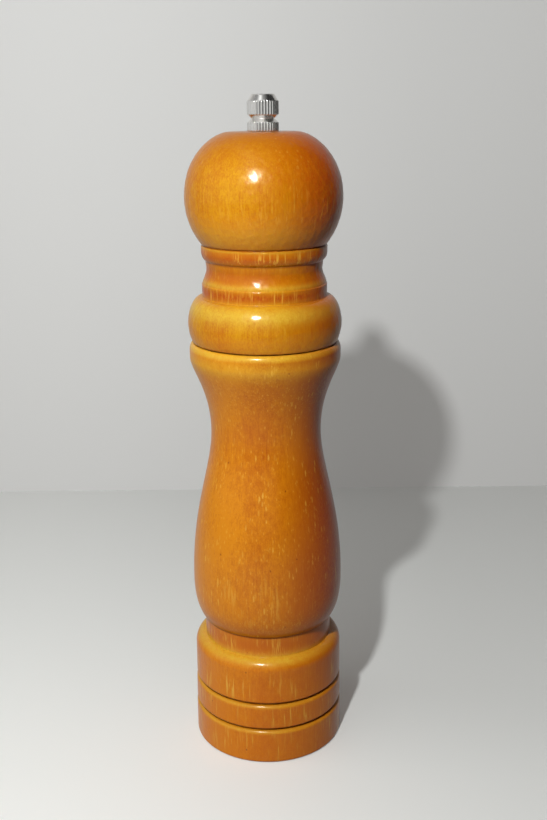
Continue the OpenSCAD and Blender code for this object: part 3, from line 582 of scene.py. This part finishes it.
def paintWood(name, stain, make, shift):
    p = millPaint(bpy.data.materials.new(name))
    far = tuple(v + make["apart"] for v in shift)
    across, height = p.axis(0), p.axis(2)
    # grain: noise stretched along the axis, from broad clouds to fine pores
    tone, streak, fine, mottle, cluster, peelBroad = [p.noise(shift=shift, **make[key]) for key in (
        "tone", "streak", "fine", "mottle", "cluster", "peelBroad")]
    grit, patch, long, peelFine = [p.noise(shift=far, **make[key]) for key in (
        "grit", "patch", "long", "peelFine")]
    shade = weighted([noise - 0.5 for noise in (tone, streak, fine, mottle, grit)], make["shades"])
    # painted light: the tone turns lighter towards the left, the lamp's side
    shade = shade * stain["spread"] + 0.5 - across.ramp(*make["leftLightRamp"]) * stain["leftLight"]
    colour = p.mix(shade.clamped(), stain["deep"], stain["light"])
    # a warmer tone by height: on the body, painted light that lightens the base bands; on the head, a darker
    # tone over the crown
    colour = p.mix(bellSum(height, stain["warmer"]), colour, stain["warm"])
    # painted bounce light: a lighter tone on the undersides and lower parts
    colour = p.mix(bellSum(height, stain["litUndersides"]), colour, stain["underLight"])
    blotch = mottle.swing(make["blotch"]) + grit.swing(make["blotch"]) + 1
    # painted shade: the stain turns richer and darker towards the right-hand side, away from the lamp, and
    # weaker towards the bottom
    side = across.ramp(stain["sideFrom"], make["sideTo"]) * height.ramp(*stain["sideLow"], *make["sideUp"])
    # painted shade: richer, darker stain in the recesses under overhangs at the listed heights, joined with
    # the shaded side and mottled by the blotches
    recessShade = bellSum(height, stain["recessShade"]).math("MAXIMUM", side * stain["side"]) * blotch
    colour = p.mix(recessShade.clamped(), colour, stain["rich"])
    # rubbed edges: thinner stain on the lips and shoulders, together with painted light on these
    # upward-facing edges, weaker towards the shaded right
    rubbedAndLit = bellSum(height, stain["rubbedAndLit"]) * blotch * across.ramp(*make["rubbedAndLitRamp"])
    colour = p.mix(rubbedAndLit.clamped(), colour, stain["thinAndLit"])
    # dashes: long cells about a millimetre wide, lit by their own random strength where a patch gathers them
    cell = p.cells(make["dashCells"], shift)
    chance = p.add("ShaderNodeSeparateColor", {}, {0: cell.also("Color")})
    dashes = (cell + grit.swing(make["dashRough"])).ramp(*make["dashRamp"])
    dashes = dashes * chance.ramp(*make["dashChance"]) * patch.ramp(*make["dashPatch"])
    bits = (p.cells(make["bitCells"], far) + grit.swing(make["bitRough"])).ramp(*make["bitRamp"])
    dashes = dashes.math("MAXIMUM", bits * mottle.ramp(*make["bitPatch"])) * stain["dashes"]
    dashes = dashes * across.ramp(*make["dashAcross"]) * height.ramp(*stain["dashLow"], *make["dashUp"])
    # long rays: thin streaks above a threshold
    rays = long.ramp(*make["longRamp"]) * bellSum(height, stain["streaked"])
    rays = rays * cluster.ramp(*make["clusterRamp"]) * stain["rays"]
    specks = p.cells(make["speckCells"], far).ramp(*make["speckRamp"]) * bellSum(height, stain["speckled"])
    light = rays.math("MAXIMUM", dashes).math("MAXIMUM", specks * make["speckShare"])
    colour = p.mix(light * make["lightShare"], colour, stain["ray"])
    # dark pinholes
    pores = p.cells(make["poreCells"], shift).ramp(*make["poreRamp"], stain["pores"], 0.0)
    colour = p.mix(pores, colour, stain["dark"])
    # dark seams: stain pooled in the grooves and creases, together with painted shade in them
    colour = p.mix(bellSum(height, stain["seams"]), colour, stain["dark"])
    relief = weighted((fine, light, peelBroad, peelFine), make["relief"])
    relief = p.bump(relief, make["reliefDepth"], make["reliefStrength"])
    return p.finish({"Base Color": colour, "Normal": relief, **make["lacquer"]})


# Metals: colour, roughness, scale of the drawn or plated grain, and how far the tint varies

metalLook = {
    "nickel_nut": ((0.90, 0.88, 0.85, 1), 0.20, (0.8, 0.8, 0.8), 0.15),
    "drawn_steel": ((0.62, 0.62, 0.62, 1), 0.30, (7, 7, 0.12), 0.25),
    "zinc_steel": ((0.66, 0.67, 0.68, 1), 0.34, (1.2, 1.2, 1.2), 0.35),
    "spring_steel": ((0.48, 0.48, 0.48, 1), 0.30, (3, 3, 3), 0.25),
    "brass_bush": ((0.78, 0.57, 0.24, 1), 0.30, (1, 1, 6), 0.25),
}
metalMake = {
    "lines": {"detail": 3, "roughness": 0.6}, "cloud": {"scale": (0.35, 0.35, 0.35), "detail": 3},
    "dulled": 0.72, "tint": 0.3, "lineRough": 0.12, "cloudRough": 0.1, "depth": 0.00002, "strength": 0.5,
}


def paintMetal(name, look, make):
    colour, roughness, grain, variation = look
    p = millPaint(bpy.data.materials.new(name))
    lines, cloud = p.noise(grain, **make["lines"]), p.noise(**make["cloud"])
    dull = tuple(v * make["dulled"] for v in colour[:3]) + (1,)
    tint = p.mix(cloud.swing(variation * 2) + lines.swing(variation) + make["tint"], colour, dull)
    rough = roughness + lines.swing(make["lineRough"]) + cloud.swing(make["cloudRough"])
    relief = p.bump(lines, make["depth"], make["strength"])
    return p.finish({"Base Color": tint, "Metallic": 1.0, "Roughness": rough, "Normal": relief})


# Ceramic and plastic: two colours mixed by a broad noise, over a fine grain

burrLook = {
    "grain": {"scale": (3, 3, 3), "detail": 4, "roughness": 0.7},
    "stain": {"scale": (0.4, 0.4, 0.4), "shift": (3, 1, 2), "detail": 3}, "stainRamp": (0.42, 0.75),
    "clean": (0.86, 0.85, 0.81, 1), "stained": (0.70, 0.65, 0.56, 1), "speck": (0.45, 0.40, 0.33, 1),
    "speckRamp": (0.62, 0.8), "speckShare": 0.35,
    "roughness": 0.48, "roughSwing": 0.3, "depth": 0.00003, "strength": 0.6,
}
plasticLook = {
    "grain": {"scale": (6, 6, 6), "detail": 3, "roughness": 0.7},
    "smear": {"scale": (0.25, 0.25, 0.5), "shift": (2, 4, 1), "detail": 3}, "smearRamp": (0.4, 0.7),
    "black": (0.020, 0.020, 0.022, 1), "worn": (0.034, 0.033, 0.032, 1),
    "roughness": 0.42, "roughSwing": 0.25, "depth": 0.00002, "strength": 0.5,
}


def paintBurr(name, look):
    p = millPaint(bpy.data.materials.new(name))
    grain, stain = p.noise(**look["grain"]), p.noise(**look["stain"])
    colour = p.mix(stain.ramp(*look["stainRamp"]), look["clean"], look["stained"])
    colour = p.mix(grain.ramp(*look["speckRamp"]) * look["speckShare"], colour, look["speck"])
    return p.finish({"Base Color": colour, "Roughness": look["roughness"] + grain.swing(look["roughSwing"]),
                     "Normal": p.bump(grain, look["depth"], look["strength"])})


def paintPlastic(name, look):
    p = millPaint(bpy.data.materials.new(name))
    grain, smear = p.noise(**look["grain"]), p.noise(**look["smear"])
    colour = p.mix(smear.ramp(*look["smearRamp"]), look["black"], look["worn"])
    return p.finish({"Base Color": colour, "Roughness": look["roughness"] + smear.swing(look["roughSwing"]),
                     "Normal": p.bump(grain, look["depth"], look["strength"])})


bodyWood = paintWood("stained_wood_body", bodyStain, woodMake, (3.1, 5.7, 0.4))
headWood = paintWood("stained_wood_head", headStain, woodMake, (41.3, 17.9, 12.6))
nickel, drawnSteel, zincSteel, springSteel, brass = [
    paintMetal(name, look, metalMake) for name, look in metalLook.items()]
ceramic = paintBurr("burr_ceramic", burrLook)
plastic = paintPlastic("black_plastic", plasticLook)

# what each node wears
finishes = {
    "body": bodyWood, "head": headWood, "adjusting_nut": nickel, "spindle": drawnSteel,
    "mechanism_housing": plastic, "shaft_guide": plastic, "burr_driver": plastic,
    "housing_screws": zincSteel, "drive_plate": zincSteel, "drive_plate_screws": zincSteel,
    "spring_washer": zincSteel, "burr_washer": zincSteel, "retaining_clip": springSteel,
    "grinder_spring": springSteel, "outer_burr": ceramic, "inner_burr": ceramic, "guide_bush": brass,
}
for name, material in finishes.items():
    slots = nodes[name].material_slots
    if not slots:
        nodes[name].data.materials.append(material)
    for entry in slots:
        entry.material = material
for piece, material in ((body, bodyWood), (head, headWood), (nut, nickel), (spindle, drawnSteel)):
    piece.data.materials.append(material)
print("materials assigned")


# Stage: pale floor with a wall close behind

stageSize = {
    "wallY": 0.232, "wallRight": 0.35, "half": 1.6, "height": 1.4,
    "floor": (0.72, 0.74, 0.72, 1), "wall": (0.65, 0.66, 0.65, 1), "roughness": 0.6, "specular": 0.2,
    "bounce": 0.28, "glow": (0.115, 0.109, 0.104, 1),
    "sweepAcross": (-140.0, 100.0), "floorSweep": (1.15, 0.88), "wallSweep": (1.14, 0.96),
}


def paintStage(name, colour, size, sweep):
    # to the camera, in gloss and through glass: the colour as written and a soft glow; dimmer to light thrown
    # back; both are swept from lighter on the left to darker on the right, a painted falloff of the lamp's
    # light
    p = millPaint(bpy.data.materials.new(name))
    seen = (p.ray("Camera") + p.ray("Glossy") + p.ray("Transmission")).clamped()
    dim = tuple(v * size["bounce"] for v in colour[:3]) + (1,)
    level = p.axis(0).ramp(*size["sweepAcross"], *sweep)
    shown = p.scaled(p.mix(seen, dim, colour), level)
    glow = p.scaled(p.mix(seen, (0, 0, 0, 1), size["glow"]), level)
    p.finish({"Base Color": shown, "Roughness": size["roughness"], "Specular IOR Level": size["specular"],
              "Emission Color": glow, "Emission Strength": 1.0})
    # seen from its back the sheet lets every ray through, so that views from behind and below are clear
    behind = p.add("ShaderNodeNewGeometry", output="Backfacing")
    clear = p.add("ShaderNodeBsdfTransparent")
    sheet = p.add("ShaderNodeMixShader", {}, {0: behind, 1: millSocket(p, p.shader.outputs[0]), 2: clear})
    p.feed(p.tree.nodes["Material Output"].inputs["Surface"], sheet)
    return p.owner


def buildSheet(name, corners, material):
    mesh = bpy.data.meshes.new(name)
    mesh.from_pydata(corners, [], [(0, 1, 2, 3)])
    mesh.materials.append(material)
    sheet = bpy.data.objects.new(name, mesh)
    bpy.context.collection.objects.link(sheet)


def buildStage(size):
    half, y, right, top = size["half"], size["wallY"], size["wallRight"], size["height"]
    buildSheet("floor_sheet", [(-half, -half, 0), (half, -half, 0), (half, y, 0), (-half, y, 0)],
               paintStage("floor_pale", size["floor"], size, size["floorSweep"]))
    buildSheet("wall_sheet", [(-half, y, 0), (right, y, 0), (right, y, top), (-half, y, top)],
               paintStage("wall_pale", size["wall"], size, size["wallSweep"]))


buildStage(stageSize)

# Lamp: a small round one, above the camera and a little left

lampSize = {"place": (-0.0807, -0.3138, 0.3837), "across": 0.018, "level": 1.0, "aim": (0, 0, 0.11)}


def buildLamp(size):
    place, aim = Vector(size["place"]), Vector(size["aim"])
    away, distance = (place - aim).normalized(), (place - aim).length
    light = bpy.data.lights.new("key_lamp", "AREA")
    light.shape = "DISK"
    light.size = size["across"]
    # level 1 lights a facing surface so that it renders as written: power = level pi^2 distance^2
    light.energy = size["level"] * math.pi ** 2 * distance ** 2
    lamp = bpy.data.objects.new("key_lamp", light)
    bpy.context.collection.objects.link(lamp)
    lamp.location = place
    lamp.rotation_mode = "QUATERNION"
    lamp.rotation_quaternion = away.to_track_quat("Z", "Y")


buildLamp(lampSize)

# Room light: pale to the left, and dim and warm to the right. Ramps run along the direction's x, from left to
# right, or its z, from level to straight up

roomSize = {
    "left": 1.1, "right": 0.05, "across": (-0.9, 0.25), "above": 0.75, "aboveUp": (0.3, 1.0),
    "cool": (0.98, 1.0, 1.0, 1), "warm": (1.0, 0.72, 0.52, 1), "warmAcross": (-0.4, 0.5),
    "glossLeft": 0.62, "glossRight": 0.07, "glossAcross": (0.1, 0.5),
    "ceiling": 0.6, "ceilingUp": (0.4, 0.85),
    "strip": 1.0, "stripX": -0.25, "stripWide": 0.16, "stripUp": (0.72, 0.80), "stripDown": (0.93, 0.98),
    "seen": 0.6,
}


def buildRoom(size):
    world = bpy.data.worlds.new("studio_room")
    bpy.context.scene.world = world
    room = millPaint(world)
    way = room.add("ShaderNodeTexCoord", output="Generated")
    x, z = [room.add("ShaderNodeSeparateXYZ", {}, {0: way}, output=axis) for axis in ("X", "Z")]
    # what lights the object: from left to right, less from straight above
    light = x.ramp(*size["across"], size["left"], size["right"])
    light = light * z.ramp(*size["aboveUp"], 1.0, size["above"])
    # in gloss: a pale left side, a dim right side and ceiling, and a lamp strip overhead
    strip = x.bell(size["stripX"], size["stripWide"]) * z.ramp(*size["stripUp"])
    strip = strip * z.ramp(*size["stripDown"], 1.0, 0.0) * size["strip"]
    gloss = x.ramp(*size["glossAcross"], size["glossLeft"], size["glossRight"])
    gloss = gloss * z.ramp(*size["ceilingUp"], 1.0, 1 - size["ceiling"]) + strip
    inGloss = room.ray("Glossy").math("MAXIMUM", room.ray("Transmission"))
    seen = room.ray("Camera")
    level = (1 - inGloss) * light + inGloss * gloss
    level = (1 - seen) * level + seen * size["seen"]
    warmth = x.ramp(*size["warmAcross"]) * (1 - inGloss) * (1 - seen)
    tinted = room.scaled(room.mix(warmth, size["cool"], size["warm"]), level)
    room.feed(room.tree.nodes["Background"].inputs["Color"], tinted)


buildRoom(roomSize)

# Camera: in front, level with the nut and tilted down; focal length and centre are in pixels of the frame

cameraSize = {"place": (0, -0.3315, 0.2107), "pitch": 13.31, "roll": -0.47, "yaw": 0.46, "focal": 1048.5,
              "centreX": 273.5, "centreY": 356.4, "wide": 547, "high": 820, "sensor": 36, "reach": (0.01, 10)}


def buildCamera(size):
    data = bpy.data.cameras.new("front_camera")
    data.sensor_width = size["sensor"]
    data.lens = size["sensor"] * size["focal"] / size["high"]
    data.shift_x = (size["wide"] / 2 - size["centreX"]) / size["high"]
    data.shift_y = (size["centreY"] - size["high"] / 2) / size["high"]
    data.clip_start, data.clip_end = size["reach"]
    camera = bpy.data.objects.new("front_camera", data)
    bpy.context.collection.objects.link(camera)
    pitch, roll, yaw = (math.radians(size[k]) for k in ("pitch", "roll", "yaw"))
    forward = Vector((math.sin(yaw) * math.cos(pitch), math.cos(yaw) * math.cos(pitch), -math.sin(pitch)))
    camera.rotation_mode = "QUATERNION"
    camera.rotation_quaternion = (-forward).to_track_quat("Z", "Y") @ Quaternion((0, 0, 1), roll)
    camera.location = size["place"]
    bpy.context.scene.camera = camera


buildCamera(cameraSize)
bpy.context.scene.view_settings.view_transform = "Standard"
print("stage, lamp and camera ready")
